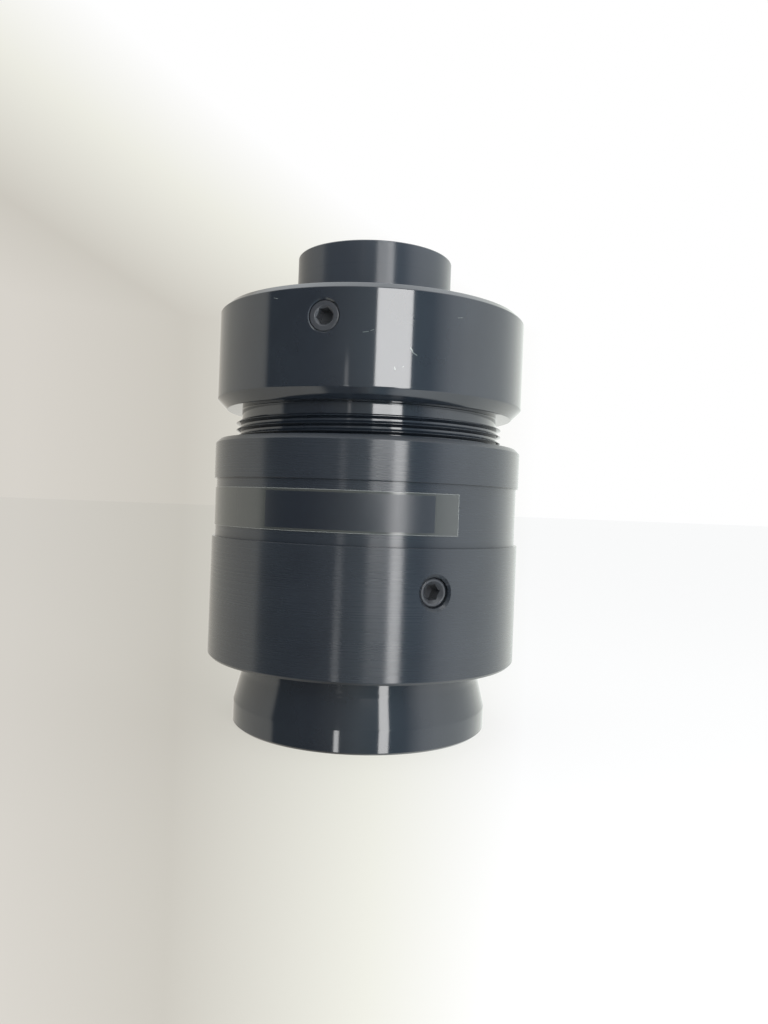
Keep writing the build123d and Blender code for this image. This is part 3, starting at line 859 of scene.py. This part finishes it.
# The table's colour carries the painted shadow and the painted sunlight
pale = colorRamp(nodes, links, share, paintedSunAndShadowStops)
grain = noiseNode(nodes, links, place, table["grainScale"], table["grainDetail"])
grainHeight = grain.outputs["Fac"]
addRelief(nodes, links, shader, grainHeight, table["grainStrength"], table["grainDepth"])
links.new(pale, shader.inputs["Base Color"])
shader.inputs["Roughness"].default_value = table["roughness"]
shader.inputs["Specular IOR Level"].default_value = 0.0
glow = nodes.new("ShaderNodeEmission")
links.new(pale, glow.inputs["Color"])
seen = nodes.new("ShaderNodeLightPath")
lit = nodes.new("ShaderNodeMixShader")
seenShare = mathNode(nodes, links, "MULTIPLY", seen.outputs["Is Camera Ray"], table["glow"])
for socket, value in zip(lit.inputs, (seenShare, shader.outputs[0], glow.outputs[0])):
    links.new(value, socket)
links.new(lit.outputs[0], nodes["Material Output"].inputs["Surface"])
tableTop.data.materials.append(tablePaint)
tableTop.visible_glossy = False  # the metal reflects the room below it too, as on a glass stand

# The room all round: dark behind the camera, a bright window side at the right, a pale wall behind
# and at the left, and a plain ceiling. Stops are (degrees from the camera's side, strength and
# colour).
room = {
    "peak": 4.0, "ceiling": (0.55, 0.57, 0.58), "ceilingFrom": 0.55, "ceilingFull": 0.85,
    "backdropFoot": 0.21, "backdropLean": 1.75, "dimming": 0.6,
    "stops": (
        (-180, (1.1, 1.1, 1.05)), (-155, (0.78, 0.74, 0.66)), (-125, (0.9, 0.88, 0.8)),
        (-100, (1.22, 1.2, 1.12)), (-84, (1.4, 1.4, 1.32)), (-81, (1.25, 1.26, 1.22)),
        (-77.5, (0.26, 0.3, 0.34)), (-40, (0.3, 0.32, 0.36)), (-18, (0.55, 0.58, 0.6)),
        (0, (0.8, 0.9, 0.95)), (30, (0.6, 0.8, 0.95)), (44, (0.65, 0.8, 0.95)),
        (60, (2.0, 2.15, 2.3)), (74, (2.3, 2.45, 2.55)), (110, (1.75, 1.85, 1.85)),
        (140, (1.75, 1.8, 1.7)), (165, (1.25, 1.3, 1.25)), (180, (1.1, 1.1, 1.05)),
    ),
}
world = bpy.data.worlds.new("room")
bpy.context.scene.world = world
world.use_nodes = True
nodes, links = world.node_tree.nodes, world.node_tree.links
apart = splitNode(nodes, links, nodes.new("ShaderNodeTexCoord").outputs["Generated"])
back = mathNode(nodes, links, "MULTIPLY", apart["Y"], -1.0)
azimuth = mathNode(nodes, links, "ARCTAN2", apart["X"], back)
azimuthShare = mathNode(nodes, links, "MULTIPLY_ADD", azimuth, 0.5 / math.pi, 0.5)
wallStops = [
    ((degrees + 180) / 360, [c / room["peak"] for c in color]) for degrees, color in room["stops"]
]
walls = colorRamp(nodes, links, azimuthShare, wallStops)
overhead = rangeNode(nodes, links, apart["Z"], room["ceilingFrom"], room["ceilingFull"])
roomColor = mixColor(nodes, links, overhead, walls, room["ceiling"])
seen = nodes.new("ShaderNodeLightPath").outputs
softer = mathNode(nodes, links, "MULTIPLY_ADD", seen["Is Diffuse Ray"], -room["dimming"], 1.0)
level = mathNode(nodes, links, "MULTIPLY", softer, room["peak"])
roomLight = nodes["Background"]
links.new(roomColor, roomLight.inputs["Color"])
links.new(level, roomLight.inputs["Strength"])
# The backdrop carries the same painted shadow and painted sunlight as the table
rise = mathNode(nodes, links, "SUBTRACT", apart["Z"], room["backdropFoot"])
riseUp = mathNode(nodes, links, "MAXIMUM", rise, 0.0)
lean = mathNode(nodes, links, "MULTIPLY_ADD", riseUp, room["backdropLean"], apart["X"])
leanShare = mathNode(nodes, links, "ADD", lean, table["fanMiddle"])
backdrop = nodes.new("ShaderNodeBackground")
links.new(colorRamp(nodes, links, leanShare, paintedSunAndShadowStops), backdrop.inputs["Color"])
choose = nodes.new("ShaderNodeMixShader")
choices = (seen["Is Camera Ray"], roomLight.outputs[0], backdrop.outputs[0])
for socket, value in zip(choose.inputs, choices):
    links.new(value, socket)
links.new(choose.outputs[0], nodes["World Output"].inputs["Surface"])

# A tall light panel right of the camera gives the long highlight. Its lower part is narrower. Two
# small panels left of the camera give the thin line on the ring and the short one on the flange.
panels = {
    "wide": {
        "distance": 200, "left": 3.8, "right": 27.6, "foot": 62, "top": 140, "strength": 14.0,
    },
    "narrow": {
        "distance": 200, "left": 18.8, "right": 27.0, "foot": -110, "top": 62, "strength": 11.5,
    },
    "thin": {
        "distance": 900, "left": -16.9, "right": -14.5, "foot": 130, "top": 205, "strength": 2.4,
    },
    "low": {
        "distance": 900, "left": -18.7, "right": -14.6, "foot": -500, "top": -215,
        "strength": 10.0,
    },
}
panelDimming = 0.85  # a reflection shows a panel brighter than it lights


def lightPanel(name, panel):
    clearSelection()
    bpy.ops.mesh.primitive_plane_add(size=1)
    obj = bpy.context.object
    obj.name = name
    reach = panel["distance"] * mm
    corners = ((side, height) for height in ("foot", "top") for side in ("left", "right"))
    for vertex, (side, height) in zip(obj.data.vertices, corners):
        angle = math.radians(panel[side])
        vertex.co = (reach * math.sin(angle), -reach * math.cos(angle), panel[height] * mm)
    paint, nodes, links, shader = newMaterial(name + "_light")
    light = nodes.new("ShaderNodeEmission")
    seen = nodes.new("ShaderNodeLightPath").outputs
    softer = mathNode(nodes, links, "MULTIPLY_ADD", seen["Is Diffuse Ray"], -panelDimming, 1.0)
    level = mathNode(nodes, links, "MULTIPLY", softer, panel["strength"])
    links.new(level, light.inputs["Strength"])
    links.new(light.outputs[0], nodes["Material Output"].inputs["Surface"])
    obj.data.materials.append(paint)
    obj.visible_camera = False


for name, panel in panels.items():
    lightPanel(name + "Panel", panel)
print("room lit")

# Camera at the photograph's place, a hand's width from the adapter and level with its middle
view = {
    "location": (2.79, -125.27, 32.84), "rotation": (89.52, -2.19, 0.02), "lens": 28.71,
    "sensor": 36, "clipStart": 0.005, "clipEnd": 50,
}
clearSelection()
bpy.ops.object.camera_add(
    location=[c * mm for c in view["location"]],
    rotation=[math.radians(a) for a in view["rotation"]],
)
camera = bpy.context.object
camera.data.lens = view["lens"]
camera.data.sensor_width = view["sensor"]
camera.data.clip_start = view["clipStart"]
camera.data.clip_end = view["clipEnd"]
bpy.context.scene.camera = camera
bpy.context.scene.view_settings.view_transform = "Standard"
